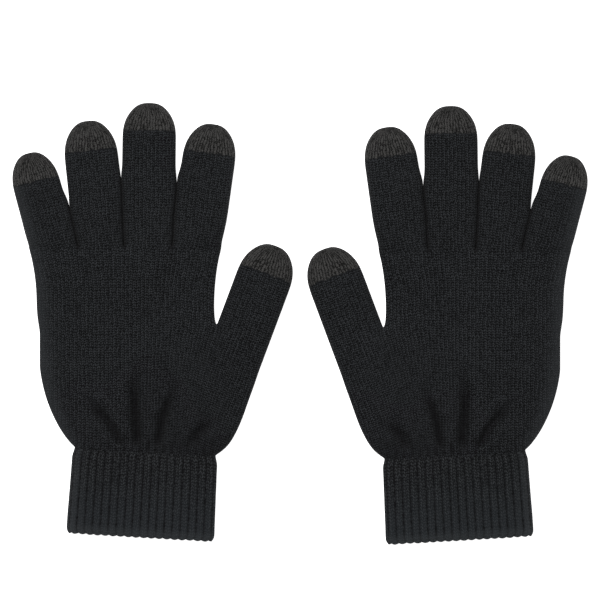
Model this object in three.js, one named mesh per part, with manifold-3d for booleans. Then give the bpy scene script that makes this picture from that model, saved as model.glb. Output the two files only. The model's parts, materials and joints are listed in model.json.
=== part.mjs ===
// A pair of knitted touchscreen gloves, laid flat side by side with the palm sides up.
// Millimetres, +Z up, fingertips toward +Y. The pair stands on z = 0, centred on the origin.
// Each glove is drawn in its own frame: the origin is the middle of its wrist line, +X points
// to the thumb side and +Y to the fingertips. The other glove is the mirror image.
import * as THREE from 'three';
import { mergeVertices } from 'three/addons/utils/BufferGeometryUtils.js';
import Module from 'manifold-3d';

const wasm = await Module();
wasm.setup();

// Fabric
const layThickness = 8.6; // two layers and the air between them, lying flat
const knitWall = 1.5;
const cuffWall = 1.8;
const clearance = 0.3; // between two pieces that meet
const fingerGap = 0.9; // between two fingers that lie side by side

// Palm, measured from the wrist line
const palmLength = 100.5; // wrist line to the fold line of the finger roots
const rootRowCentre = -10; // middle of the row of finger roots
const wristInner = 38; // thumb side of the wrist
const wristOuter = -36; // little finger side of the wrist
const outerSide = [[-46, 17.5], [-51.5, 36], [-54.3, 70]];
const thumbSide = [[34.6, 80], [34.4, 64], [41, 44], [50, 22]];
const webDepth = 5; // closed cloth between two finger roots

// Fingers in order from the little finger. Lean is positive toward the thumb, and squeeze is how
// much narrower the tube is at its root, where it is crowded by its neighbours
const fingers = [
  { name: 'little', width: 24, squeeze: -0.4, length: 51.3, lean: -15.5, base: 24, tip: 15.1 },
  { name: 'ring', width: 27, squeeze: 4.2, length: 64.6, lean: -6, base: 30.5, tip: 15 },
  { name: 'middle', width: 27, squeeze: 3.4, length: 73, lean: 0, base: 35, tip: 13.5 },
  { name: 'index', width: 27, squeeze: 2.5, length: 63.3, lean: 7.6, base: 30, tip: 14.6 },
];
const domeLength = 17; // rounded end of each finger

// Thumb
const thumb = { name: 'thumb', width: 28, length: 55.4, lean: 19.5, base: 25, tip: 14.6 };
const thumbRoot = [45.9, 50.25]; // middle of its fold line
const thumbFoldTurn = 29; // the fold line, turned from square to the thumb
const thumbHeel = 34; // how far the thumb's tube runs on into the palm

// Cuff
const cuffLean = 3.35; // its lower end swings to the little finger side
const cuffLength = 43;
const cuffTopWidth = 70.6;
const cuffEndWidth = 72.7;
const hemLength = 3;
const elasticWidth = 1.6;
const elasticDepth = 0.8;
const elasticRows = [{ name: 'upper', below: 12 }, { name: 'lower', below: 28 }];

// The pair
const wristSpacing = 154.5; // between the two wrist centres
const rightGloveDrop = 1.5; // the right glove lies this much nearer the cuffs

// Drawing detail
const edgeFlat = 0.4; // straight band in the middle of a rounded edge
const edgeSteps = 2;
const curveSteps = 5;
const overrun = 14; // how far a shape runs on past the plane that cuts it
const reach = 400; // larger than the glove

const radians = THREE.MathUtils.degToRad;

const cloth = new THREE.MeshStandardMaterial({ color: 0x202123, roughness: 0.95, metalness: 0 });
const ribCloth = new THREE.MeshStandardMaterial({ color: 0x242527, roughness: 0.95, metalness: 0 });
const hemCloth = new THREE.MeshStandardMaterial({ color: 0x272a2d, roughness: 0.95, metalness: 0 });
const tipCloth = new THREE.MeshStandardMaterial({ color: 0x302f2f, roughness: 0.85, metalness: 0 });
const elastic = new THREE.MeshStandardMaterial({ color: 0x1a1a1b, roughness: 0.7, metalness: 0 });

// A closed geometry as a solid that can be joined and cut
function solid(geometry) {
  geometry.deleteAttribute('normal');
  geometry.deleteAttribute('uv');
  const merged = mergeVertices(geometry, 1e-4);
  return new wasm.Manifold(new wasm.Mesh({
    numProp: 3,
    vertProperties: new Float32Array(merged.attributes.position.array),
    triVerts: new Uint32Array(merged.index.array),
  }));
}

function meshOf(name, body, material) {
  const result = body.getMesh();
  const geometry = new THREE.BufferGeometry();
  geometry.setAttribute('position', new THREE.BufferAttribute(result.vertProperties, 3));
  geometry.setIndex(new THREE.BufferAttribute(result.triVerts, 1));
  geometry.computeVertexNormals();
  const mesh = new THREE.Mesh(geometry, material.clone());
  mesh.name = name;
  return mesh;
}

// The outline as a flat pillow with round edges, shrunk on every side by inset
function pillow(outline, inset) {
  const round = (layThickness - edgeFlat) / 2 - inset;
  const geometry = new THREE.ExtrudeGeometry(outline, {
    depth: edgeFlat,
    bevelThickness: round,
    bevelSize: round,
    bevelOffset: -round - inset,
    bevelSegments: edgeSteps,
    curveSegments: curveSteps,
  });
  geometry.translate(0, 0, inset + round);
  return solid(geometry);
}

// Everything between two distances from a point, measured along a direction that leans from +Y
// to +X; start is where it begins across that direction
function slab(point, lean, from, to, start = -reach / 2) {
  const box = new THREE.BoxGeometry(reach, to - from, 3 * layThickness);
  box.translate(start + reach / 2, (from + to) / 2, layThickness / 2);
  box.rotateZ(-radians(lean));
  box.translate(point[0], point[1], 0);
  return solid(box);
}

// A place given along and across a line that starts at a point and leans from +Y to +X
function place(point, lean, along, across) {
  const sine = Math.sin(radians(lean));
  const cosine = Math.cos(radians(lean));
  return [
    point[0] + along * sine + across * cosine,
    point[1] + along * cosine - across * sine,
  ];
}

// The middle of each finger's root, counted along the row
function placeRoots() {
  fingers.forEach((finger) => { finger.rootWidth = finger.width - finger.squeeze; });
  const rowWidth = fingers.reduce((sum, finger) => sum + finger.rootWidth, 0);
  let edge = rootRowCentre - rowWidth / 2;
  for (const finger of fingers) {
    finger.root = [edge + finger.rootWidth / 2, palmLength];
    edge += finger.rootWidth;
  }
}

// x of a finger's full-width side at a height above the root line; side is -1 or 1
function sideAt(finger, side, height) {
  const lean = radians(finger.lean);
  return finger.root[0] + height * Math.tan(lean) + side * finger.width / 2 / Math.cos(lean);
}

// Height above the root line at which a finger's side comes free of its neighbour
function partingHeight(left, right) {
  const overlap = sideAt(left, 1, 0) - sideAt(right, -1, 0) + fingerGap;
  const spread = Math.tan(radians(right.lean)) - Math.tan(radians(left.lean));
  return Math.max(overlap / spread, overrun);
}

// The two low corners on one side of a finger: at the root, and where its full width begins
function lowCorners(index, side) {
  const finger = fingers[index];
  const neighbour = fingers[index + side];
  const inset = neighbour ? fingerGap / 2 : 0;
  const rootX = finger.root[0] + side * (finger.rootWidth / 2 - inset);
  const pair = side < 0 ? [neighbour, finger] : [finger, neighbour];
  const height = neighbour ? partingHeight(...pair) : finger.base * 0.8;
  return [[rootX, palmLength - overrun], [rootX, palmLength],
    [sideAt(finger, side, height), palmLength + height]];
}

// The rounded end, drawn from the right side over the tip to the left side
function drawDome(outline, finger, root) {
  const middle = place(root, finger.lean, finger.length - domeLength, 0);
  const turn = -radians(finger.lean);
  outline.absellipse(middle[0], middle[1], finger.width / 2, domeLength, 0, Math.PI, false, turn);
}

function fingerOutline(index) {
  const finger = fingers[index];
  const outline = new THREE.Shape();
  const right = lowCorners(index, 1);
  const left = lowCorners(index, -1).reverse();
  outline.moveTo(...right[0]);
  right.slice(1).forEach((corner) => outline.lineTo(...corner));
  drawDome(outline, finger, finger.root);
  left.forEach((corner) => outline.lineTo(...corner));
  return outline;
}

function thumbOutline() {
  const outline = new THREE.Shape();
  outline.moveTo(...place(thumbRoot, thumb.lean, -thumbHeel, -thumb.width / 2));
  outline.lineTo(...place(thumbRoot, thumb.lean, -thumbHeel, thumb.width / 2));
  drawDome(outline, thumb, thumbRoot);
  return outline;
}

// The palm, run on past the wrist line and past the row of finger roots
function palmOutline() {
  const vector = ([x, y]) => new THREE.Vector2(x, y);
  const first = fingers[0];
  const last = fingers[fingers.length - 1];
  const rowLeft = [first.root[0] - first.rootWidth / 2, palmLength];
  const rowRight = [last.root[0] + last.rootWidth / 2, palmLength];
  const outline = new THREE.Shape();
  outline.moveTo(wristOuter, -overrun);
  outline.lineTo(wristInner, -overrun);
  outline.lineTo(wristInner, 0);
  outline.splineThru([...thumbSide].reverse().concat([rowRight]).map(vector));
  outline.lineTo(rowRight[0], palmLength + overrun);
  outline.lineTo(rowLeft[0], palmLength + overrun);
  outline.lineTo(...rowLeft);
  outline.splineThru([...outerSide].reverse().concat([[wristOuter, 0]]).map(vector));
  return outline;
}

// Outline of the cuff, drawn along its own leaning line
function cuffOutline() {
  const outline = new THREE.Shape();
  const corner = (along, width) => place([0, 0], cuffLean, along, width / 2);
  outline.moveTo(...corner(-cuffLength - overrun, cuffEndWidth));
  outline.lineTo(...corner(-cuffLength, cuffEndWidth));
  outline.lineTo(...corner(0, cuffTopWidth));
  outline.lineTo(...corner(overrun, cuffTopWidth));
  outline.lineTo(...corner(overrun, -cuffTopWidth));
  outline.lineTo(...corner(0, -cuffTopWidth));
  outline.lineTo(...corner(-cuffLength, -cuffEndWidth));
  outline.lineTo(...corner(-cuffLength - overrun, -cuffEndWidth));
  return outline;
}

// A digit's base, end and tip: the base meets the hand at the fold, the end meets the base at
// the middle joint, and the tip is the cap that works a screen
function addDigit(group, side, digit, shell, root, afterFold, beforeJoint, afterJoint) {
  const capFrom = digit.length - digit.tip;
  const beforeCap = slab(root, digit.lean, -reach / 2, capFrom - clearance / 2);
  const cap = slab(root, digit.lean, capFrom + clearance / 2, reach / 2);
  const base = shell.intersect(afterFold).intersect(beforeJoint);
  const end = shell.intersect(afterJoint).intersect(beforeCap);
  group.add(meshOf(`${side}_${digit.name}_base`, base, cloth));
  group.add(meshOf(`${side}_${digit.name}_end`, end, cloth));
  group.add(meshOf(`${side}_${digit.name}_tip`, shell.intersect(cap), tipCloth));
}

function addCuff(group, side) {
  const outline = cuffOutline();
  const hollow = pillow(outline, cuffWall);
  const shell = pillow(outline, 0).subtract(hollow);
  const bodyEnd = hemLength - cuffLength;
  let cuff = shell.intersect(slab([0, 0], cuffLean, bodyEnd + clearance / 2, -clearance / 2));
  for (const row of elasticRows) {
    const low = -row.below - elasticWidth / 2;
    const high = low + elasticWidth;
    const depth = cuffWall - elasticDepth;
    const groove = pillow(outline, depth - clearance)
      .intersect(slab([0, 0], cuffLean, low - clearance, high + clearance));
    const loop = pillow(outline, depth).subtract(hollow)
      .intersect(slab([0, 0], cuffLean, low, high));
    cuff = cuff.subtract(groove);
    group.add(meshOf(`${side}_cuff_elastic_${row.name}`, loop, elastic));
  }
  const hem = shell.intersect(slab([0, 0], cuffLean, -cuffLength, bodyEnd - clearance / 2));
  group.add(meshOf(`${side}_cuff`, cuff, ribCloth));
  group.add(meshOf(`${side}_cuff_hem`, hem, hemCloth));
}

function makeGlove(side) {
  const group = new THREE.Group();
  const half = clearance / 2;
  let outside = pillow(palmOutline(), 0);
  let hollow = pillow(palmOutline(), knitWall)
    .intersect(slab([0, palmLength], 0, -reach / 2, -webDepth));

  fingers.forEach((finger, index) => {
    const outline = fingerOutline(index);
    const inner = pillow(outline, knitWall);
    hollow = hollow.add(inner);
    const joint = [0, palmLength + finger.base];
    addDigit(
      group, side, finger, pillow(outline, 0).subtract(inner), finger.root,
      slab([0, palmLength], 0, half, reach / 2),
      slab(joint, 0, -reach / 2, -half),
      slab(joint, 0, half, reach / 2),
    );
  });

  const outline = thumbOutline();
  const inner = pillow(outline, knitWall);
  const outer = pillow(outline, 0);
  const foldLean = thumb.lean + thumbFoldTurn;
  const thumbStrip = slab(
    thumbRoot, thumb.lean, -reach / 2, reach / 2, -thumb.width / 2 - clearance,
  );
  const joint = place(thumbRoot, thumb.lean, thumb.base, 0);
  addDigit(
    group, side, thumb, outer.subtract(inner), thumbRoot,
    slab(thumbRoot, foldLean, half, reach / 2),
    slab(joint, thumb.lean, -reach / 2, -half),
    slab(joint, thumb.lean, half, reach / 2),
  );

  outside = outside.add(outer);
  hollow = hollow.add(inner);
  const hand = outside.subtract(hollow)
    .intersect(slab([0, 0], cuffLean, half, reach))
    .intersect(slab([0, palmLength], 0, -reach, -half))
    .subtract(slab(thumbRoot, foldLean, -half, reach / 2).intersect(thumbStrip));
  group.add(meshOf(`${side}_hand`, hand, cloth));
  addCuff(group, side);
  return group;
}

placeRoots();
const leftGlove = makeGlove('left');
leftGlove.position.set(-wristSpacing / 2, 0, 0);
const rightGlove = makeGlove('right');
rightGlove.position.set(wristSpacing / 2, -rightGloveDrop, 0);
rightGlove.scale.x = -1;

const pair = new THREE.Group();
pair.add(leftGlove, rightGlove);
pair.updateMatrixWorld(true);
const centre = new THREE.Box3().setFromObject(pair).getCenter(new THREE.Vector3());
pair.position.set(-centre.x, -centre.y, 0);
pair.updateMatrixWorld(true);

export default pair;
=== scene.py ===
"""A pair of knitted touchscreen gloves, lying flat side by side with the palm sides up.

Each glove is worked in millimetres in its own frame: the origin is the middle of its wrist
line, x points to the thumb side, y to the fingertips and z up out of the palm.
"""
import json
import math

import bmesh
import bpy
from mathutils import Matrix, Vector, noise


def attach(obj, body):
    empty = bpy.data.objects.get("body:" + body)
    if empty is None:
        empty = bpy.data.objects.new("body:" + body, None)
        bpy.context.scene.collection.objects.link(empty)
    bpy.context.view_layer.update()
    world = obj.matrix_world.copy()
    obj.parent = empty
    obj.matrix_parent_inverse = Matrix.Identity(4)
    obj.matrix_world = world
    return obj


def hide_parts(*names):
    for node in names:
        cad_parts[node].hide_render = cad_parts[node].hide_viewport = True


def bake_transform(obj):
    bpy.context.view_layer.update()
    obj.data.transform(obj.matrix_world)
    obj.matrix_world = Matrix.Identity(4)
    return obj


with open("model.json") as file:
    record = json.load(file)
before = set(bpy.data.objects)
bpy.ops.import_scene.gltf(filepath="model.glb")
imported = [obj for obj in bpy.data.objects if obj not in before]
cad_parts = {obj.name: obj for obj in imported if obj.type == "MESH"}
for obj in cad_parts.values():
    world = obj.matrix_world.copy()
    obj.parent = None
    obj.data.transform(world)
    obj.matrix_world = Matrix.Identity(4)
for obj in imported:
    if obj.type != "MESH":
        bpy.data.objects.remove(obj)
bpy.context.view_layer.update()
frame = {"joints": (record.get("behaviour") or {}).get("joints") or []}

MM = 0.001

# Cloth
KNIT = 1.2  # thickness of one layer
FLOOR = 0.15  # the underside rests this high, on its fuzz
FINGER_THICK = 8.0
PALM_THICK = 7.7
CUFF_THICK = 7.8
SIDE_INSET = 3.1  # from the widest point of a tube to where its face begins
ROUNDNESS = 2.5
FACE_WALES = 11  # columns of stitches on the face of a finger
SIDE_WALES = 6.5  # and round one side of it
PALM_WALE = 1.97  # width of one column in the palm
ROOT_WALE = 2.17  # and where the fingers begin
COURSE = 1.29  # height of one row of stitches
RIB_COURSE = 1.6  # and of one in the cuff

# Mesh
FACE_COLUMNS = 6  # across one face of a finger
SIDE_STEPS = 4  # round one side of a tube
ROW_STEP = 3.4
SMOOTHING = 2
# Smoothing draws the mesh in a little, so it is drawn this much wider
PRESS = 0.58  # where fingers lie against each other
EASE = 0.4  # on each side of the palm
PALM_COLUMNS = FACE_COLUMNS * 4  # across the palm, below four fingers

# Palm rows from the wrist up: left end, right end, thickness
LOW_ROWS = [
    ((-33.4, -0.6), (33.4, -4.4), 6.8),
    ((-34.4, 1.4), (34.8, -2.4), 7.4),
    ((-36.8, 3.4), (38.4, -0.3), 7.7),
    ((-39.2, 6.2), (42.0, 3.2), 7.9),
    ((-42.6, 11), (45.2, 8.5), 8.0),
    ((-46.0, 17.5), (48.6, 16), 7.9),
    ((-49.1, 25), (51.4, 24.5), PALM_THICK),
    ((-51.3, 33), (54.6, 33), PALM_THICK),
]
HIGH_ROWS = [
    ((-53.8, 66), (34.6, 66), PALM_THICK),
    ((-54.2, 73), (34.4, 73), PALM_THICK),
    ((-54.3, 80), (34.7, 80), PALM_THICK),
    ((-55.0, 87), (35.3, 87), PALM_THICK),
    ((-56.1, 93.5), (36.3, 93.5), PALM_THICK),
    ((-57.1, 97.8), (37.2, 97.8), PALM_THICK),
]
OUTER_SIDE_AT_THUMB = -52.6  # little finger side of the palm, level with the thumb's root

# Digits: lean toward the thumb, width, length, rounded end, and length of the conductive cap
LEANS = {"little": -14.9, "ring": -6.1, "middle": 0.7, "index": 8.0, "thumb": 20.5}
WIDTHS = {"little": 24.5, "ring": 27.5, "middle": 27.5, "index": 27.3, "thumb": 28.6}
LENGTHS = {"little": 50.1, "ring": 64.9, "middle": 73.5, "index": 63.5, "thumb": 55.9}
DOMES = {"little": 17.5, "ring": 19.0, "middle": 17.0, "index": 18.5, "thumb": 18.5}
CAPS = {"little": 15.6, "ring": 16.0, "middle": 14.7, "index": 15.6, "thumb": 15.4}
OUTER_ROOTS = {"little": 12.4, "index": 12.6}  # half width of the outer fingers' free sides
# The line where two neighbouring fingers touch, from their roots to the gap between them
PARTINGS = {
    ("little", "ring"): ((-33.2, 100.5), (-37.7, 122.5)),
    ("ring", "middle"): ((-10.4, 100.5), (-12.1, 136)),
    ("middle", "index"): ((13.2, 100.5), (16.0, 135.5)),
}
WAVER = 0.3  # how far such a line strays to one side
END_ROUNDNESS = 2.15  # of a digit's end, seen from above
END_FLATNESS = 2.6  # and seen from the side
END_THICKNESS = 0.45  # at the very end, as a share of the digit's
THUMB_TURN_LENGTH = 16  # over which the thumb's rows turn square to it
FINGER_TURN_LENGTH = 14  # and a finger's
WEB_RISE = 1.4  # of the cloth between two finger roots
END_ROWS = (3.2, 1.5, 0.35)  # the last rows, measured from a digit's end
FINGERS = ["little", "ring", "middle", "index"]
DIGITS = FINGERS + ["thumb"]
PALM_CENTRE = -10.0
THUMB_FOLD_TURN = 29.0  # the thumb's fold line, turned from square to the thumb
BEND = 5.0  # half the length of cloth that bends at a joint

# Cuff
CUFF_LEAN = 3.35
CUFF_LENGTH = 43.0
CUFF_NECK = 0.9  # how much it narrows at the wrist line, on each side
CUFF_TUCK = 3.0  # how far it runs up inside the palm
HEM_LENGTH = 3.0
CUFF_TOP_WIDTH = 72.3
CUFF_END_WIDTH = 74.1
CUFF_ROWS = 33
HEM_ROWS = 5
RIBS = 38
RIB_COLUMNS = 8  # of the mesh, to one rib
RIB_DEPTH = 0.42
RIB_WIDTH = 3.97

# Elastic yarn inside the cuff: distances below the wrist line, and its own size
ELASTIC_ROWS = {"upper": 12.0, "lower": 28.0}
ELASTIC_WIDTH = 1.6
ELASTIC_DEPTH = 0.8
ELASTIC_SIDES = 8

SLACK = 0.35  # of the palm's loose cloth, in broad waves
RIPPLE = 0.12  # and in small ones
LOWEST = 0.05  # nothing hangs below this
GATHERS_TOP = 66
DEEPEST = 4.4  # any deeper and the two layers of cloth would meet

# Gathers above the cuff, and the thumb's crease: path, half width, depth
GATHERS = [
    ([(-34, 31), (-25.5, 22.5), (-18.8, 15), (-14.8, 9), (-12.8, 4)], 2.2, 5.2),
    ([(-3.2, 47), (-5.2, 31), (-5, 20), (-3.9, 11), (-3.9, 5)], 2.6, 6.0),
    ([(18, 40), (12.6, 26), (9, 17), (7.6, 9), (6.8, 4)], 2.3, 5.6),
    ([(35, 17), (27, 9), (23.7, 3)], 3.0, 4.6),
    ([(-25, 12), (-23, 4)], 1.5, 1.4),
    ([(-9, 10), (-8, 3)], 1.3, 1.4),
    ([(17, 12), (15.5, 3)], 1.5, 1.4),
    ([(34.4, 61), (31.5, 55), (28, 48)], 1.8, 1.0),
]

# Yarn colours: between the stitches, dark partly as painted shade, and on top of the yarn, light partly
# as a painted highlight
BLACK_YARN = ((0.0006, 0.0006, 0.0007), (0.0315, 0.0338, 0.037))
RIB_YARN = ((0.0014, 0.0014, 0.0015), (0.0355, 0.0380, 0.0405))
# painted shade in the gathers, rib grooves and finger partings
PAINTED_SHADE_COLOUR = (0.0035, 0.003, 0.0035)
# painted shade in the grooves between ribs
GROOVE_SHADE_COLOUR = (0.003, 0.003, 0.0035)
# painted rim light along the glove's outer side
RIM_LIGHT_COLOUR = (0.034, 0.037, 0.04)  # along the outer side
BAND_YARN = (0.0232, 0.0272, 0.031)  # toward the hem
HEM_YARN = (0.040, 0.044, 0.047)  # where the hem turns under
BORDER_YARN = (0.008, 0.0085, 0.0095)  # between a tip's first stitches
TIP_YARN = ((0.0028, 0.0027, 0.0026), (0.0585, 0.0570, 0.0555))

# The glove's outer side, from the cuff to the end of the little finger
OUTER_SIDE = [(-38.5, -43), (-36.5, -1), (-46.0, 17.5), (-51.3, 33), (-54.3, 80), (-57.1, 97.8),
              (-67.5, 138)]
# painted rim light along the outer side: how strong it is and how far in it reaches
RIM_LIGHT_SHARE = 0.45  # how much paler the yarn is there
RIM_LIGHT_REACH = 5.5  # how far in from the side it fades

# Camera
CAMERA_HEIGHT = 1.6
VIEW_CENTRE = 0.01175  # toward the fingertips
VIEW_WIDTH = 0.3
SENSOR = 36

ZONES = ["hand"] + [f"{digit}_{part}" for digit in DIGITS for part in ("base", "end", "tip")]


def smooth(t):
    t = max(0.0, min(1.0, t))
    return t * t * (3 - 2 * t)


def mix(a, b, t):
    return a + (b - a) * t


def place(root, lean, along, across):
    """A point along and across a line that leans from +y toward +x."""
    sine, cosine = math.sin(math.radians(lean)), math.cos(math.radians(lean))
    return (root[0] + along * sine + across * cosine, root[1] + along * cosine - across * sine)


# Joint places, read from the frame in the left glove's own frame

JOINTS = {joint["name"]: joint for joint in frame["joints"]}


def wrist(side):
    return Vector(JOINTS[f"{side}_wrist"]["pos_m"])


def joint_place(name):
    offset = (Vector(JOINTS[f"left_{name}"]["pos_m"]) - wrist("left")) / MM
    return (offset.x, offset.y)


ROOTS = {digit: joint_place(f"{digit}_knuckle") for digit in DIGITS}
MIDDLES = {digit: joint_place(f"{digit}_middle_joint") for digit in DIGITS}
PALM_LENGTH = ROOTS["middle"][1]


def section(left, right, thickness, columns=FACE_COLUMNS):
    """Points (across, height) round a flattened tube: the face from left to right, down the
    right side, the back from right to left, and up the left side."""
    middle, half = (left + right) / 2, (right - left) / 2
    edge = 1 - min(SIDE_INSET, half * 0.45) / half
    base = FLOOR + thickness / 2

    def curve(share):
        return (1 - abs(share) ** ROUNDNESS) ** (1 / ROUNDNESS)

    across = [edge * (2 * i / columns - 1) for i in range(columns + 1)]
    down = [curve(edge) * math.cos(math.pi * i / SIDE_STEPS) for i in range(1, SIDE_STEPS)]
    high = thickness / 2
    points = [(middle + half * q, base + high * curve(q)) for q in across]
    points += [(middle + half * curve(t), base + high * t) for t in down]
    points += [(middle + half * q, base - high * curve(q)) for q in reversed(across)]
    points += [(middle - half * curve(t), base + high * t) for t in reversed(down)]
    return points


# Mesh helpers

def start_ring(bm, points):
    ring = bmesh.ops.create_circle(bm, segments=len(points), radius=1)["verts"]
    for vert, point in zip(ring, points):
        vert.co = point
    return ring


def edges_of(bm, ring):
    return [bm.edges.get(pair) for pair in zip(ring, ring[1:] + ring[:1])]


def extrude_ring(bm, ring, points, zone=0, wales=None, courses=(0, 0)):
    """Extrudes a closed ring of vertices to new points; wales numbers the stitches round it."""
    made = bmesh.ops.extrude_edge_only(bm, edges=edges_of(bm, ring))["geom"]
    fresh = {item for item in made if isinstance(item, bmesh.types.BMVert)}
    follows = {}
    for vert in fresh:
        for edge in vert.link_edges:
            other = edge.other_vert(vert)
            if other not in fresh:
                follows[other] = vert
    new = [follows[vert] for vert in ring]
    for vert, point in zip(new, points):
        vert.co = point
    stitches = bm.loops.layers.uv.verify()
    count = len(ring)
    for i in range(count):
        after = (i + 1) % count
        face = bm.edges.get((new[i], new[after])).link_faces[0]
        face.material_index = zone
        face.smooth = True
        if wales:
            at = {ring[i]: (wales[i], courses[0]), new[i]: (wales[i], courses[1]),
                  ring[after]: (wales[i + 1], courses[0]), new[after]: (wales[i + 1], courses[1])}
            for loop in face.loops:
                loop[stitches].uv = at[loop.vert]
    return new


def finger_wales():
    """Stitch numbers round a finger, in the order of section()."""
    marks = [FACE_WALES * i / FACE_COLUMNS for i in range(FACE_COLUMNS + 1)]
    marks += [FACE_WALES + SIDE_WALES * i / SIDE_STEPS for i in range(1, SIDE_STEPS)]
    half = FACE_WALES + SIDE_WALES
    return marks + [half + mark for mark in marks] + [2 * half]


# The hand

def thumb_point(along, across, height):
    """A point of the thumb; near its root the rings turn toward its slanting fold line."""
    turn = THUMB_FOLD_TURN * (1 - smooth(along / THUMB_TURN_LENGTH))
    lean = LEANS["thumb"]
    x, y = place(ROOTS["thumb"], lean, along - across * math.tan(math.radians(turn)), across)
    return (x, y, height)


def thumb_root_ring():
    half = WIDTHS["thumb"] / 2
    return [thumb_point(0, t, z) for t, z in section(-half, half, FINGER_THICK)]


def row_points(left, right, thickness):
    left, right = (left[0] - EASE, left[1]), (right[0] + EASE, right[1])
    points = []
    for x, z in section(left[0], right[0], thickness, PALM_COLUMNS):
        share = (x - left[0]) / (right[0] - left[0])
        points.append((x, mix(left[1], right[1], share), z))
    return points


def thumb_row_points(index, root_ring):
    """A palm row that ends at the thumb's fold line; index counts from the outer end."""
    face = root_ring[FACE_COLUMNS - index]
    back = root_ring[FACE_COLUMNS + SIDE_STEPS + index]
    points = row_points((OUTER_SIDE_AT_THUMB, face[1]), (face[0] + SIDE_INSET, face[1]), PALM_THICK)
    crown = max(z for _, _, z in points)
    below = min(z for _, _, z in points)
    for i in range(PALM_COLUMNS + 1):
        share = max(0.0, i / PALM_COLUMNS - 0.5) * 2
        if share:
            x, y, _ = points[i]
            points[i] = (x, y, mix(crown, face[2], share ** 3))
            j = 2 * PALM_COLUMNS + SIDE_STEPS - i
            x, y, _ = points[j]
            points[j] = (x, y, mix(below, back[2], share ** 3))
    sides = slice(PALM_COLUMNS + 1, PALM_COLUMNS + SIDE_STEPS)
    if index == 0:
        points[sides] = root_ring[FACE_COLUMNS + 1:FACE_COLUMNS + SIDE_STEPS]
    if index == FACE_COLUMNS:
        points[sides] = root_ring[2 * FACE_COLUMNS + SIDE_STEPS + 1:][::-1]
    return points


def root_row_points():
    """The palm's last row, where the four finger roots stand side by side."""
    edge = ROOTS["little"][0] - OUTER_ROOTS["little"]
    end = ROOTS["index"][0] + OUTER_ROOTS["index"]
    points = row_points((edge, PALM_LENGTH), (end, PALM_LENGTH), PALM_THICK)
    crotches = [line[0][0] for line in PARTINGS.values()]
    marks = [points[0][0]] + crotches + [points[PALM_COLUMNS][0]]
    for i in range(PALM_COLUMNS + 1):
        finger = min(i // FACE_COLUMNS, len(FINGERS) - 1)
        share = i / FACE_COLUMNS - finger
        across = mix(marks[finger], marks[finger + 1], share)
        for j in (i, 2 * PALM_COLUMNS + SIDE_STEPS - i):
            points[j] = (across, PALM_LENGTH, points[j][2])
    for i in range(PALM_COLUMNS + 1):
        lift = math.cos(2 * math.pi * i / FACE_COLUMNS)
        x, y, z = points[i]
        points[i] = (x, y, z - 0.9 * max(0.0, lift) + 0.1)
        j = 2 * PALM_COLUMNS + SIDE_STEPS - i
        x, y, z = points[j]
        points[j] = (x, y, z + 0.5 * max(0.0, lift))
    return points


def make_palm(bm):
    """Rows of the palm up to the finger roots; returns the root row and the thumb's opening."""
    root_ring = thumb_root_ring()
    rows = [row_points(*row) for row in LOW_ROWS]
    first = len(rows)
    rows += [thumb_row_points(i, root_ring) for i in range(FACE_COLUMNS + 1)]
    rows += [row_points(*row) for row in HIGH_ROWS]
    rows.append(root_row_points())
    rings = [start_ring(bm, rows[0])]
    for points in rows[1:]:
        rings.append(extrude_ring(bm, rings[-1], points))
    zone = rings[first:first + FACE_COLUMNS + 1]
    side = range(PALM_COLUMNS, PALM_COLUMNS + SIDE_STEPS)
    strip = []
    for low, high in zip(zone, zone[1:]):
        for i in side:
            quad = {low[i], low[i + 1], high[i], high[i + 1]}
            strip += [face for face in low[i].link_faces if set(face.verts) == quad]
    outer = zone[0][PALM_COLUMNS + 1:PALM_COLUMNS + SIDE_STEPS]
    crotch = zone[-1][PALM_COLUMNS + 1:PALM_COLUMNS + SIDE_STEPS]
    opening = [ring[PALM_COLUMNS] for ring in reversed(zone)] + outer
    opening += [ring[PALM_COLUMNS + SIDE_STEPS] for ring in zone] + crotch[::-1]
    bmesh.ops.delete(bm, geom=strip, context="FACES")
    return rings[-1], opening


def make_crotch(bm, top, bottom):
    """A short bar of cloth from face to back between two finger roots."""
    bar = [top]
    for i in range(1, SIDE_STEPS):
        share = (1 - math.cos(math.pi * i / SIDE_STEPS)) / 2
        rise = WEB_RISE * math.sin(math.pi * share)
        spot = top.co.lerp(bottom.co, share) + Vector((0, rise, 0))
        bar.append(bmesh.ops.create_vert(bm, co=spot)["vert"][0])
    bar.append(bottom)
    for pair in zip(bar, bar[1:]):
        bm.edges.new(pair)
    return bar[1:-1]


# The digits

def stations(digit):
    """Distances along a digit, with the part that begins at each."""
    length = LENGTHS[digit]
    joint = math.dist(ROOTS[digit], MIDDLES[digit])
    marks = [(0, "base"), (joint - BEND - 1, "end"), (length - CAPS[digit], "tip")]
    found = []
    for index, (start, part) in enumerate(marks):
        end = marks[index + 1][0] if index < 2 else length - END_ROWS[0]
        steps = max(2, round((end - start) / ROW_STEP))
        found += [(mix(start, end, (i + 1) / steps), part) for i in range(steps)]
    return found + [(length - short, "tip") for short in END_ROWS[1:]]


def waver(start, y):
    """How far the line where two fingers meet strays to one side."""
    return WAVER * noise.noise(Vector((start, y * 0.13, 0.5)))


def half_width(digit, side, along):
    """How far a digit reaches to one side: to the parting line while it touches a neighbour."""
    full = WIDTHS[digit] / 2
    if digit == "thumb":
        return full
    place_in_row = FINGERS.index(digit)
    pair = tuple(FINGERS[place_in_row - 1:place_in_row + 1] if side < 0 else
                 FINGERS[place_in_row:place_in_row + 2])
    if pair not in PARTINGS:
        return mix(OUTER_ROOTS[digit], full, smooth(along / 20))
    (x0, y0), (x1, y1) = PARTINGS[pair]
    centre_x, centre_y = place(ROOTS[digit], LEANS[digit], along, 0)
    parting = mix(x0, x1, (centre_y - y0) / (y1 - y0)) + waver(x0, centre_y)
    reach = side * (parting - centre_x) * math.cos(math.radians(LEANS[digit])) + PRESS
    return mix(reach, full, smooth((centre_y - y1 + 3) / 9))


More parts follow.
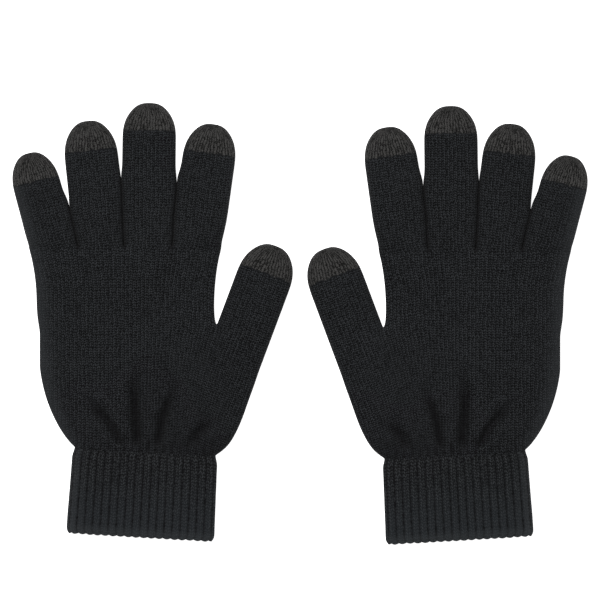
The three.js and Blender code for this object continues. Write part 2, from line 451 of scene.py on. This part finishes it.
def digit_ring(digit, along):
    length, dome = LENGTHS[digit], DOMES[digit]
    share = max(0.0, (along - length + dome) / dome)
    narrow = (1 - share ** END_ROUNDNESS) ** (1 / END_ROUNDNESS)
    thin = (1 - share ** END_FLATNESS) ** (1 / END_FLATNESS)
    left, right = (half_width(digit, side, along) * narrow for side in (-1, 1))
    thick = FINGER_THICK * mix(END_THICKNESS, 1.0, thin)
    lift = (FINGER_THICK - thick) * 0.25
    points = section(-left, right, thick)
    if digit == "thumb":
        return [thumb_point(along, t, z + lift) for t, z in points]
    root, lean = ROOTS[digit], LEANS[digit]
    centre = place(root, lean, along, 0)
    turn = lean * smooth(along / FINGER_TURN_LENGTH)
    return [(*place(centre, turn, 0, t), z + lift) for t, z in points]


def make_digit(bm, digit, ring):
    wales = finger_wales()
    before = 0.0
    for along, part in stations(digit):
        courses = [(PALM_LENGTH + value) / COURSE for value in (before, along)]
        zone = ZONES.index(f"{digit}_{part}")
        ring = extrude_ring(bm, ring, digit_ring(digit, along), zone, wales, courses)
        before = along
    cap = bmesh.ops.contextual_create(bm, geom=edges_of(bm, ring))["faces"][0]
    cap.material_index = ZONES.index(f"{digit}_tip")
    cap.smooth = True


def make_skin():
    """The whole outside of a glove without its cuff, as one smooth mesh."""
    bm = bmesh.new()
    top, opening = make_palm(bm)
    right_side = top[PALM_COLUMNS + 1:PALM_COLUMNS + SIDE_STEPS]
    left_side = top[2 * PALM_COLUMNS + SIDE_STEPS + 1:]
    face = top[:PALM_COLUMNS + 1]
    back = top[PALM_COLUMNS + SIDE_STEPS:2 * PALM_COLUMNS + SIDE_STEPS + 1][::-1]
    bars = [make_crotch(bm, face[i * FACE_COLUMNS], back[i * FACE_COLUMNS]) for i in (1, 2, 3)]
    sides = [left_side[::-1]] + bars + [right_side]
    for i, digit in enumerate(FINGERS):
        span = slice(i * FACE_COLUMNS, (i + 1) * FACE_COLUMNS + 1)
        ring = face[span] + sides[i + 1] + back[span][::-1] + sides[i][::-1]
        make_digit(bm, digit, ring)
    make_digit(bm, "thumb", opening)
    bmesh.ops.recalc_face_normals(bm, faces=bm.faces)
    mesh = bpy.data.meshes.new("skin")
    bm.to_mesh(mesh)
    bm.free()
    skin = bpy.data.objects.new("skin", mesh)
    for name in ZONES:
        mesh.materials.append(bpy.data.materials.get(name) or bpy.data.materials.new(name))
    bpy.context.collection.objects.link(skin)
    rounding = skin.modifiers.new("rounding", "SUBSURF")
    rounding.levels = rounding.render_levels = SMOOTHING
    rounding.uv_smooth = "NONE"
    smoothed = evaluated(skin)
    bpy.data.objects.remove(skin)
    return smoothed


def evaluated(piece):
    """The piece's mesh with its modifiers applied."""
    bpy.context.view_layer.update()
    graph = bpy.context.evaluated_depsgraph_get()
    return bpy.data.meshes.new_from_object(piece.evaluated_get(graph))


# Folds and stitches on the finished skin

def distance_to_path(point, path):
    """Distance from a point to a path, and how far along the path, 0 to 1, it is nearest."""
    best, where = 1e9, 0.0
    for index, (a, b) in enumerate(zip(path, path[1:])):
        start, leg = Vector(a), Vector(b) - Vector(a)
        share = max(0.0, min(1.0, (point - start).dot(leg) / leg.length_squared))
        gap = (start + leg * share - point).length
        if gap < best:
            best, where = gap, (index + share) / (len(path) - 1)
    return best, where


def sink(x, y):
    """How deep the gathers press the palm at a place."""
    if y >= GATHERS_TOP:
        return 0.0
    point = Vector((x, y))
    depth = 0.0
    for path, reach, full in GATHERS:
        gap, where = distance_to_path(point, path)
        rise = smooth(where * 2.3) * smooth((y + 0.5) / 7)
        shoulder = 0.22 * math.exp(-(gap / reach / 2.4) ** 2)
        depth += full * rise * (math.exp(-(gap / reach) ** 2) - shoulder)
    return min(depth, DEEPEST)


def rib_turns(x, y):
    """How many ribs a place is past the cuff's first rib, at the left of its face."""
    across = x * math.cos(math.radians(CUFF_LEAN)) - y * math.sin(math.radians(CUFF_LEAN))
    return (across + CUFF_TOP_WIDTH / 2 - CUFF_NECK - SIDE_INSET) / RIB_WIDTH


def rib_fade(y):
    """The cuff's ribs run on a little way into the palm and die out."""
    return 1 - smooth((y + 1) / 12)


def rib_at(x, y):
    """Height of the ribs that run on into the palm."""
    ridge = 0.5 + 0.5 * math.cos(2 * math.pi * rib_turns(x, y))
    return RIB_DEPTH * (ridge - 0.6) * rib_fade(y)


def painted_shade_at(x, y):
    """How much painted shade darkens the yarn at a place: between ribs, in gathers and where
    fingers press together."""
    between = 0.5 - 0.5 * math.cos(2 * math.pi * rib_turns(x, y))
    share = max(0.7 * between ** 3 * rib_fade(y), 0.7 * sink(x, y) / DEEPEST)
    for line in PARTINGS.values():
        gap, _ = distance_to_path(Vector((x - waver(line[0][0], y), y)), line)
        share = max(share, 0.9 * math.exp(-(gap / 0.85) ** 2) * smooth((y - 96) / 6))
    return share


def note_rim_light(mesh):
    """Notes how near each vertex is to the glove's outer side, where painted rim light makes the yarn
    paler.
    """
    near = mesh.attributes.new("rim_light", "FLOAT", "POINT")
    for vert, entry in zip(mesh.vertices, near.data):
        gap, _ = distance_to_path(vert.co.xy, OUTER_SIDE)
        entry.value = RIM_LIGHT_SHARE * math.exp(-(gap / RIM_LIGHT_REACH) ** 2)


def fold_skin(mesh):
    """Loosens, gathers and ribs the smooth skin."""
    note_rim_light(mesh)
    middle = FLOOR + PALM_THICK / 2
    # painted shade: the yarn is drawn darker in the gathers, rib grooves and finger partings
    shade_layer = mesh.attributes.new("painted_shade", "FLOAT", "POINT")
    for vert, entry in zip(mesh.vertices, shade_layer.data):
        x, y, z = vert.co
        entry.value = painted_shade_at(x, y)
        side = max(-1.0, min(1.0, (z - middle) / (0.35 * PALM_THICK)))
        slack = noise.noise(Vector((x, y, 40 * side)) / 26) * SLACK
        slack += noise.noise(Vector((x, y, 60 * side)) / 9) * RIPPLE
        if side > 0:
            vert.co.z += side * (slack * smooth(y / 12) - sink(x, y) + rib_at(x, y))
        else:
            vert.co.z -= side * max(0.0, slack + 0.3 * sink(x, y))
        vert.co.z = max(vert.co.z, LOWEST)
    mesh.update()
    keep_normals(mesh)


def keep_normals(mesh):
    """Notes each vertex's normal, so that pieces cut from one skin still shade as one."""
    kept = mesh.attributes.new("cloth_normal", "FLOAT_VECTOR", "POINT")
    for vert, entry in zip(mesh.vertices, kept.data):
        entry.vector = vert.normal


def shade_as_kept(mesh, mirror):
    """Gives the outer and inner faces of a walled piece the normals noted on its skin."""
    kept = [entry.vector.copy() for entry in mesh.attributes["cloth_normal"].data]
    for normal in kept:
        normal.x *= mirror
    normals = [Vector((0, 0, 1))] * len(mesh.loops)
    for face in mesh.polygons:
        for loop in face.loop_indices:
            normal = kept[mesh.loops[loop].vertex_index]
            facing = face.normal.dot(normal)
            if facing > 0.5:
                normals[loop] = normal
            elif facing < -0.5:
                normals[loop] = -normal
            else:
                normals[loop] = face.normal.copy()
    mesh.normals_split_custom_set(normals)
    mesh.attributes.remove(mesh.attributes["cloth_normal"])


def lay_stitches(mesh):
    """Numbers the stitches of the skin before it is folded. The palm's straight columns fan out
    to lean along the thumb; a digit's rows are square to it."""
    stitches = mesh.uv_layers.active.data
    slope = math.tan(math.radians(LEANS["thumb"]))
    for face in mesh.polygons:
        zone = ZONES[face.material_index]
        around = max(0.0, 1 - abs(face.normal.z)) * (1 if face.center.x > 0 else -1)
        for loop in face.loop_indices:
            x, y, z = mesh.vertices[mesh.loops[loop].vertex_index].co
            if zone == "hand":
                fan = slope * smooth((x + 5) / 49)
                level = smooth((PALM_LENGTH - 2 - y) / 36)
                spacing = mix(ROOT_WALE, PALM_WALE, smooth((PALM_LENGTH - y) / 20))
                across = x - PALM_CENTRE - fan * min(0, y - 62) + around * (FLOOR + PALM_THICK - z)
                stitches[loop].uv = (across / spacing, (y + fan * level * (x - 20)) / COURSE)
            else:
                along = distance_along(zone.split("_")[0], x, y)
                stitches[loop].uv = (stitches[loop].uv[0], (PALM_LENGTH + along) / COURSE)


def distance_along(digit, x, y):
    """How far a place is along a digit from its root."""
    root, lean = ROOTS[digit], math.radians(LEANS[digit])
    return (x - root[0]) * math.sin(lean) + (y - root[1]) * math.cos(lean)


def mark_borders(mesh, digit):
    """Notes how far, in millimetres, each vertex of a tip is above the start of its yarn."""
    start = LENGTHS[digit] - CAPS[digit]
    border = mesh.attributes.new("above_border", "FLOAT", "POINT")
    for vert, entry in zip(mesh.vertices, border.data):
        entry.value = distance_along(digit, vert.co.x, vert.co.y) - start


def take_zone(skin, zone):
    bm = bmesh.new()
    bm.from_mesh(skin)
    others = [face for face in bm.faces if face.material_index != zone]
    bmesh.ops.delete(bm, geom=others, context="FACES")
    for face in bm.faces:
        face.material_index = 0
    mesh = bpy.data.meshes.new("zone")
    bm.to_mesh(mesh)
    bm.free()
    return mesh


def make_piece(name, mesh, side, material, wall=KNIT):
    """Puts a left-hand mesh in its place as one glove's piece, with its wall inside it."""
    mirror = 1 if side == "left" else -1
    bm = bmesh.new()
    bm.from_mesh(mesh)
    start = wrist(side)
    for vert in bm.verts:
        x, y, z = vert.co
        vert.co = (start.x + mirror * x * MM, start.y + y * MM, z * MM)
    if mirror < 0:
        bmesh.ops.reverse_faces(bm, faces=bm.faces)
    done = bpy.data.meshes.new(name)
    bm.to_mesh(done)
    bm.free()
    done.materials.append(material)
    piece = bpy.data.objects.new(name, done)
    bpy.context.collection.objects.link(piece)
    if wall:
        lining = piece.modifiers.new("wall", "SOLIDIFY")
        lining.thickness = wall * MM
        lining.offset = -1
        solid = evaluated(piece)
        piece.modifiers.clear()
        piece.data = solid
        bpy.data.meshes.remove(done)
        solid.name = name
        if "cloth_normal" in solid.attributes:
            shade_as_kept(solid, mirror)
    return piece


# The cuff

def even_points(points, count):
    """Points at equal steps round a closed outline."""
    closed = [Vector(p) for p in points + points[:1]]
    lengths = [0.0]
    for a, b in zip(closed, closed[1:]):
        lengths.append(lengths[-1] + (b - a).length)
    found, leg = [], 0
    for i in range(count):
        want = lengths[-1] * i / count
        while lengths[leg + 1] < want:
            leg += 1
        share = (want - lengths[leg]) / (lengths[leg + 1] - lengths[leg])
        found.append(closed[leg].lerp(closed[leg + 1], share))
    return found


def rib(index):
    """Height of the rib pattern at a column, 0 in the groove to 1 on the ridge."""
    return (0.5 + 0.5 * math.cos(2 * math.pi * index / RIB_COLUMNS)) ** 0.5


def cuff_ring(along):
    """A ring of the ribbed tube, at a distance down from the wrist line."""
    share = max(0.0, along / CUFF_LENGTH)
    half = mix(CUFF_TOP_WIDTH, CUFF_END_WIDTH, share) / 2
    half -= CUFF_NECK * (1 - smooth(along / 5))
    half -= 1.4 * max(0.0, (along - CUFF_LENGTH + 4) / 4) ** 3
    thick = mix(7.0, CUFF_THICK, smooth((along + 1) / 8)) - 0.5 * smooth((along - CUFF_LENGTH + 2) / 2)
    dense = even_points(section(-half, half, thick, 60), 4 * RIBS * RIB_COLUMNS)
    outline = even_points([tuple(p) for p in dense], RIBS * RIB_COLUMNS)
    count = len(outline)
    amount = RIB_DEPTH * smooth((along + 4) / 10)
    ring = []
    for i, point in enumerate(outline):
        tangent = outline[(i + 1) % count] - outline[i - 1]
        outward = Vector((-tangent.y, tangent.x)).normalized()
        wobble = noise.noise(Vector((i * 0.11, along * 0.12, 3))) * 0.12
        spot = point + outward * (amount * (rib(i) - 0.8) + wobble)
        end = max(0.0, along - CUFF_LENGTH + 2.5) / 2.5
        down = along + 0.55 * end * (rib(i) - 0.5) + 0.25 * end * noise.noise(Vector((i * 0.07, 5, 9)))
        x, y = place((0, 0), CUFF_LEAN, -down, spot.x)
        ring.append((x, y, max(LOWEST, spot.y)))
    return ring


def make_cuff():
    """The whole ribbed tube; its hem is the second zone."""
    bm = bmesh.new()
    wales = [2 * i / RIB_COLUMNS for i in range(RIBS * RIB_COLUMNS + 1)]
    hem = CUFF_LENGTH - HEM_LENGTH
    rows = [mix(-CUFF_TUCK, hem, i / CUFF_ROWS) for i in range(CUFF_ROWS + 1)]
    rows += [mix(hem, CUFF_LENGTH, i / HEM_ROWS) for i in range(1, HEM_ROWS + 1)]
    ring = start_ring(bm, cuff_ring(rows[0]))
    for before, along in zip(rows, rows[1:]):
        courses = (-before / RIB_COURSE, -along / RIB_COURSE)
        ring = extrude_ring(bm, ring, cuff_ring(along), int(along > hem + 0.01), wales, courses)
    bmesh.ops.recalc_face_normals(bm, faces=bm.faces)
    mesh = bpy.data.meshes.new("cuff")
    bm.to_mesh(mesh)
    bm.free()
    note_rim_light(mesh)
    keep_normals(mesh)
    return mesh


def make_elastic(row):
    """A flattened elastic yarn running round inside the ribbed tube."""
    bm = bmesh.new()
    half = mix(CUFF_TOP_WIDTH, CUFF_END_WIDTH, row / CUFF_LENGTH) / 2 - KNIT - ELASTIC_DEPTH - 0.7
    rings = []
    for i in range(ELASTIC_SIDES):
        angle = 2 * math.pi * i / ELASTIC_SIDES
        swell = ELASTIC_DEPTH / 2 * math.sin(angle)
        down = row + ELASTIC_WIDTH / 2 * math.cos(angle)
        thick = CUFF_THICK - 2 * (KNIT + ELASTIC_DEPTH + 0.5)
        outline = even_points(section(-half - swell, half + swell, thick + 2 * swell, 24), 120)
        lift = (CUFF_THICK - thick) / 2 - swell
        points = [(*place((0, 0), CUFF_LEAN, -down, spot.x), spot.y + lift) for spot in outline]
        rings.append(extrude_ring(bm, rings[-1], points) if rings else start_ring(bm, points))
    ends = edges_of(bm, rings[0]) + edges_of(bm, rings[-1])
    bmesh.ops.bridge_loops(bm, edges=ends)
    bmesh.ops.recalc_face_normals(bm, faces=bm.faces)
    for face in bm.faces:
        face.smooth = True
    mesh = bpy.data.meshes.new("elastic")
    bm.to_mesh(mesh)
    bm.free()
    return mesh


# Materials

def socket_of(group, name, kind, out=False, value=None):
    item = group.interface.new_socket(name=name, in_out="OUTPUT" if out else "INPUT", socket_type=kind)
    if value is not None:
        item.default_value = value
    return item


class Wiring:
    """Adds and joins shader nodes in one tree."""

    def __init__(self, tree):
        self.tree = tree

    def node(self, kind, **settings):
        made = self.tree.nodes.new(kind)
        for key, value in settings.items():
            setattr(made, key, value)
        return made

    def link(self, source, target):
        self.tree.links.new(source, target)

    def math(self, operation, a, b=None, c=None):
        made = self.node("ShaderNodeMath", operation=operation)
        for index, value in enumerate((a, b, c)):
            if value is None:
                continue
            if isinstance(value, (int, float)):
                made.inputs[index].default_value = value
            else:
                self.link(value, made.inputs[index])
        return made.outputs[0]


def stitch_group():
    """Plain knit: columns of V-shaped stitches. The UV map counts wales and courses."""
    group = bpy.data.node_groups.new("knit stitches", "ShaderNodeTree")
    socket_of(group, "Irregularity", "NodeSocketFloat", value=0.12)
    socket_of(group, "Fineness", "NodeSocketFloat", value=1.0)
    socket_of(group, "Ridge", "NodeSocketFloat", value=0.5)
    socket_of(group, "Scatter", "NodeSocketFloat", value=0.6)
    socket_of(group, "Stagger", "NodeSocketFloat", value=0.45)
    socket_of(group, "Height", "NodeSocketFloat", out=True)
    socket_of(group, "Mask", "NodeSocketFloat", out=True)
    socket_of(group, "Yarn", "NodeSocketFloat", out=True)
    w = Wiring(group)
    given = w.node("NodeGroupInput")
    result = w.node("NodeGroupOutput")
    place_map = w.node("ShaderNodeUVMap")
    wander = w.node("ShaderNodeTexNoise")
    wander.inputs["Scale"].default_value = 0.35
    wander.inputs["Detail"].default_value = 3
    w.link(place_map.outputs[0], wander.inputs["Vector"])
    parts = w.node("ShaderNodeSeparateXYZ")
    w.link(place_map.outputs[0], parts.inputs[0])
    stray = w.math("SUBTRACT", wander.outputs["Fac"], 0.5)
    shift = w.math("MULTIPLY", stray, given.outputs["Irregularity"])
    wale = w.math("MULTIPLY", parts.outputs[0], given.outputs["Fineness"])
    wale = w.math("ADD", wale, w.math("MULTIPLY", shift, 6.0))
    course = w.math("ADD", parts.outputs[1], w.math("MULTIPLY", shift, 9.0))
    sideways = w.math("SUBTRACT", w.math("FRACT", wale), 0.5)
    across = w.math("ABSOLUTE", sideways)
    row_chance = w.node("ShaderNodeTexWhiteNoise", noise_dimensions="1D")
    w.link(w.math("FLOOR", wale), row_chance.inputs["W"])
    staggered = w.math("MULTIPLY_ADD", row_chance.outputs["Value"], given.outputs["Stagger"], course)
    slant = w.math("ADD", staggered, w.math("MULTIPLY", across, 1.1))
    loops = w.math("MULTIPLY_ADD", w.math("COSINE", w.math("MULTIPLY", slant, 2 * math.pi)), 0.5, 0.5)
    from_leg = w.math("ABSOLUTE", w.math("MULTIPLY_ADD", across, 4.0, -1.0))
    leg = w.math("SUBTRACT", 1.0, w.math("POWER", from_leg, 2.4))
    column = w.math("SUBTRACT", 1.0, w.math("POWER", w.math("MULTIPLY", across, 2.0), 2.2))
    cell = w.node("ShaderNodeCombineXYZ")
    w.link(w.math("FLOOR", w.math("MULTIPLY", wale, 2.0)), cell.inputs[0])
    w.link(w.math("FLOOR", slant), cell.inputs[1])
    chance = w.node("ShaderNodeTexWhiteNoise", noise_dimensions="2D")
    w.link(cell.outputs[0], chance.inputs["Vector"])
    luck = w.math("SUBTRACT", chance.outputs["Value"], 0.5)
    spread = w.math("MULTIPLY_ADD", luck, given.outputs["Scatter"], 1.0)
    # painted light from one side: each stitch's left leg is drawn lighter than its right
    lit_leg = w.math("MULTIPLY_ADD", w.math("GREATER_THAN", sideways, 0.0), -0.4, 1.2)
    legs = w.math("MULTIPLY", w.math("MULTIPLY_ADD", leg, 0.75, 0.25), lit_leg)
    woven = w.math("MULTIPLY", w.math("MULTIPLY", legs, w.math("MULTIPLY_ADD", column, 0.4, 0.6)),
                   w.math("MULTIPLY_ADD", loops, 0.8, 0.2))
    ridged = w.math("MULTIPLY", column, w.math("MULTIPLY_ADD", loops, 0.4, 0.6))
    blend = w.node("ShaderNodeMix", data_type="FLOAT")
    w.link(given.outputs["Ridge"], blend.inputs[0])
    w.link(woven, blend.inputs[2])
    w.link(ridged, blend.inputs[3])
    # Mask colours the stitch pattern: dark between stitches partly as painted shade, light on the yarn's
    # top partly as a painted highlight
    w.link(w.math("MULTIPLY", blend.outputs[0], spread), result.inputs["Mask"])
    w.link(blend.outputs[0], result.inputs["Height"])
    strand = w.node("ShaderNodeTexNoise")
    strand.inputs["Scale"].default_value = 3.2
    strand.inputs["Detail"].default_value = 2
    w.link(place_map.outputs[0], strand.inputs["Vector"])
    w.link(strand.outputs["Fac"], result.inputs["Yarn"])
    return group


def mixed(w, share, first, second):
    """A colour that goes from first to second as share goes from 0 to 1."""
    blend = w.node("ShaderNodeMix", data_type="RGBA")
    w.link(share, blend.inputs[0])
    for socket, value in ((blend.inputs[6], first), (blend.inputs[7], second)):
        if isinstance(value, tuple):
            socket.default_value = (*value, 1)
        else:
            w.link(value, socket)
    return blend.outputs[2]


def ragged_border(w, colour):
    """Body yarn shows between the first stitches of a tip."""
    above = w.node("ShaderNodeAttribute", attribute_name="above_border")
    stitches = w.node("ShaderNodeUVMap")
    jitter = w.node("ShaderNodeTexNoise")
    jitter.inputs["Scale"].default_value = 0.9
    w.link(stitches.outputs[0], jitter.inputs["Vector"])
    height = w.math("ADD", above.outputs["Fac"], w.math("MULTIPLY_ADD", jitter.outputs["Fac"], 3.4, -1.9))
    inside = w.node("ShaderNodeMapRange", interpolation_type="SMOOTHSTEP")
    inside.inputs["From Min"].default_value = 0.0
    inside.inputs["From Max"].default_value = 0.7
    w.link(height, inside.inputs["Value"])
    return mixed(w, inside.outputs[0], BORDER_YARN, colour)


def painted_rim_light(w, colour):
    """Painted rim light: the yarn is drawn paler along the glove's outer side."""
    near = w.node("ShaderNodeAttribute", attribute_name="rim_light")
    return mixed(w, near.outputs["Fac"], colour, RIM_LIGHT_COLOUR)


def painted_shade(w, colour):
    """Darkens the yarn with painted shade in rib grooves, gathers and finger partings."""
    groove = w.node("ShaderNodeAttribute", attribute_name="painted_shade")
    stitches = w.node("ShaderNodeUVMap")
    breaks = w.node("ShaderNodeTexNoise")
    breaks.inputs["Scale"].default_value = 0.8
    w.link(stitches.outputs[0], breaks.inputs["Vector"])
    broken = w.math("MULTIPLY_ADD", breaks.outputs["Fac"], 0.9, 0.45)
    depth = w.math("MULTIPLY", groove.outputs["Fac"], broken)
    return mixed(w, depth, painted_rim_light(w, colour), PAINTED_SHADE_COLOUR)


def rib_shading(w, colour):
    """Painted shade in dark, broken lines between the ribs, and a paler band toward the hem."""
    stitches = w.node("ShaderNodeUVMap")
    parts = w.node("ShaderNodeSeparateXYZ")
    w.link(stitches.outputs[0], parts.inputs[0])
    turn = w.math("MULTIPLY", parts.outputs[0], math.pi)
    groove = w.math("POWER", w.math("MULTIPLY_ADD", w.math("COSINE", turn), -0.5, 0.5), 4.0)
    breaks = w.node("ShaderNodeTexNoise")
    breaks.inputs["Scale"].default_value = 0.8
    w.link(stitches.outputs[0], breaks.inputs["Vector"])
    broken = w.math("MULTIPLY_ADD", breaks.outputs["Fac"], 2.1, -0.35)
    depth = w.math("MULTIPLY", groove, broken)
    pale = w.node("ShaderNodeMapRange", interpolation_type="SMOOTHSTEP")
    pale.inputs["From Min"].default_value = 0
    pale.inputs["From Max"].default_value = -26
    pale.inputs["To Max"].default_value = 0.55
    w.link(parts.outputs[1], pale.inputs["Value"])
    lifted = painted_rim_light(w, mixed(w, pale.outputs[0], colour, BAND_YARN))
    groove_shaded = mixed(w, depth, lifted, GROOVE_SHADE_COLOUR)
    turned = w.node("ShaderNodeMapRange", interpolation_type="SMOOTHSTEP")
    turned.inputs["From Min"].default_value = -23
    turned.inputs["From Max"].default_value = -26.5
    turned.inputs["To Max"].default_value = 0.45
    w.link(parts.outputs[1], turned.inputs["Value"])
    return mixed(w, turned.outputs[0], groove_shaded, HEM_YARN)


def knit_material(name, dark, light, depth, finish, **pattern):
    """dark is the colour between stitches, partly painted shade, and light the colour on top of the yarn,
    partly a painted highlight.
    """
    material = bpy.data.materials.new(name)
    material.use_nodes = True
    w = Wiring(material.node_tree)
    shader = material.node_tree.nodes["Principled BSDF"]
    knit = w.node("ShaderNodeGroup")
    knit.node_tree = bpy.data.node_groups["knit stitches"]
    for setting, value in pattern.items():
        knit.inputs[setting].default_value = value
    patches = w.node("ShaderNodeTexNoise")
    patches.inputs["Scale"].default_value = 38
    patches.inputs["Detail"].default_value = 3
    coordinate = w.node("ShaderNodeTexCoord")
    w.link(coordinate.outputs["Object"], patches.inputs["Vector"])
    unevenness = w.math("SUBTRACT", knit.outputs["Yarn"], 0.5)
    strands = w.math("MULTIPLY_ADD", unevenness, 1.7, knit.outputs["Mask"])
    patch = w.math("SUBTRACT", patches.outputs["Fac"], 0.5)
    tone = w.math("MULTIPLY_ADD", patch, 0.15, strands)
    ramp = w.node("ShaderNodeValToRGB")
    ramp.color_ramp.elements[0].position = 0.12
    ramp.color_ramp.elements[0].color = (*dark, 1)
    ramp.color_ramp.elements[1].position = 0.9
    ramp.color_ramp.elements[1].color = (*light, 1)
    w.link(tone, ramp.inputs[0])
    w.link(finish(w, ramp.outputs[0]), shader.inputs["Base Color"])
    shader.inputs["Roughness"].default_value = 0.92
    shader.inputs["Specular IOR Level"].default_value = 0.12
    shader.inputs["Sheen Weight"].default_value = 0.02
    shader.inputs["Sheen Roughness"].default_value = 0.45
    bump = w.node("ShaderNodeBump")
    bump.inputs["Strength"].default_value = 0.8
    bump.inputs["Distance"].default_value = depth * MM
    w.link(knit.outputs["Height"], bump.inputs["Height"])
    w.link(bump.outputs[0], shader.inputs["Normal"])
    return material


def plain_material(name, colour, roughness):
    material = bpy.data.materials.new(name)
    material.use_nodes = True
    shader = material.node_tree.nodes["Principled BSDF"]
    shader.inputs["Base Color"].default_value = (*colour, 1)
    shader.inputs["Roughness"].default_value = roughness
    return material


def elastic_material():
    material = plain_material("elastic yarn", (0.01, 0.01, 0.011), 0.6)
    w = Wiring(material.node_tree)
    shader = material.node_tree.nodes["Principled BSDF"]
    coordinate = w.node("ShaderNodeTexCoord")
    wrap = w.node("ShaderNodeTexWave")
    wrap.inputs["Scale"].default_value = 900
    w.link(coordinate.outputs["Object"], wrap.inputs["Vector"])
    bump = w.node("ShaderNodeBump")
    bump.inputs["Distance"].default_value = 0.1 * MM
    w.link(wrap.outputs["Fac"], bump.inputs["Height"])
    w.link(bump.outputs[0], shader.inputs["Normal"])
    return material


# Putting the gloves together


def join_digit(side, digit, pieces):
    base, end, tip = (pieces[f"{digit}_{part}"] for part in ("base", "end", "tip"))
    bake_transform(base)
    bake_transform(end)
    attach(tip, f"{side}_{digit}_end")


def make_glove(side, skin, cuff, cloths):
    pieces = {}
    for index, name in enumerate(ZONES):
        zone = take_zone(skin, index)
        if name.endswith("_tip"):
            mark_borders(zone, name.split("_")[0])
        cloth = cloths["tip"] if name.endswith("_tip") else cloths["body"]
        pieces[name] = make_piece(f"{side}_{name}_knit", zone, side, cloth)
        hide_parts(f"{side}_{name}")
    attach(pieces["hand"], f"{side}_hand")
    for digit in DIGITS:
        join_digit(side, digit, pieces)
    ribbing = make_piece(f"{side}_cuff_ribbing", take_zone(cuff, 0), side, cloths["rib"])
    edge = make_piece(f"{side}_cuff_edge", take_zone(cuff, 1), side, cloths["rib"])
    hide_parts(f"{side}_cuff")
    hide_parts(f"{side}_cuff_hem")
    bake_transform(ribbing)
    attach(edge, f"{side}_cuff")
    for row, down in ELASTIC_ROWS.items():
        yarn = make_piece(f"{side}_elastic_{row}_yarn", make_elastic(down), side, cloths["elastic"], 0)
        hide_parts(f"{side}_cuff_elastic_{row}")
        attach(yarn, f"{side}_cuff")


def make_stage():
    bpy.ops.mesh.primitive_plane_add(size=4)
    floor = bpy.context.object
    floor.name = "floor"
    paper = plain_material("pale floor", (0.9, 0.9, 0.9), 0.8)
    shader = paper.node_tree.nodes["Principled BSDF"]
    shader.inputs["Emission Color"].default_value = (1, 1, 1, 1)
    shader.inputs["Emission Strength"].default_value = 1.0
    floor.data.materials.append(paper)


def add_lamp(name, where, size, power):
    light = bpy.data.lights.new(name, "AREA")
    light.size = size
    light.energy = power
    lamp = bpy.data.objects.new(name, light)
    lamp.location = where
    lamp.rotation_euler = (Vector((0, 0, 0)) - lamp.location).to_track_quat("-Z", "Y").to_euler()
    bpy.context.collection.objects.link(lamp)


def make_studio():
    add_lamp("overhead softbox", (-0.4, 0.5, 1.6), 0.4, 25)
    add_lamp("side lamp", (0.9, 0.5, 0.7), 0.5, 3)
    world = bpy.data.worlds.new("studio")
    world.use_nodes = True
    world.node_tree.nodes["Background"].inputs["Color"].default_value = (1, 1, 1, 1)
    world.node_tree.nodes["Background"].inputs["Strength"].default_value = 0.15
    bpy.context.scene.world = world
    bpy.context.scene.view_settings.view_transform = "Standard"
    camera = bpy.data.objects.new("camera", bpy.data.cameras.new("camera"))
    camera.location = (0, VIEW_CENTRE, CAMERA_HEIGHT)
    camera.data.sensor_width = SENSOR
    camera.data.lens = SENSOR * CAMERA_HEIGHT / VIEW_WIDTH
    bpy.context.collection.objects.link(camera)
    bpy.context.scene.camera = camera


def main():
    make_studio()
    stitch_group()
    cloths = {
        "body": knit_material("black knit", *BLACK_YARN, 0.35, painted_shade,
                              Ridge=0, Irregularity=0.18, Scatter=0.7),
        "rib": knit_material("rib knit", *RIB_YARN, 0.35, rib_shading,
                             Ridge=0, Irregularity=0.2, Stagger=0.8, Scatter=0.6),
        "tip": knit_material("conductive knit", *TIP_YARN, 0.4, ragged_border,
                             Ridge=0.7, Fineness=1.22, Irregularity=0.22, Scatter=1.25, Stagger=0.7),
        "elastic": elastic_material(),
    }
    skin = make_skin()
    lay_stitches(skin)
    fold_skin(skin)
    cuff = make_cuff()
    for side in ("left", "right"):
        make_glove(side, skin, cuff, cloths)
    make_stage()


main()
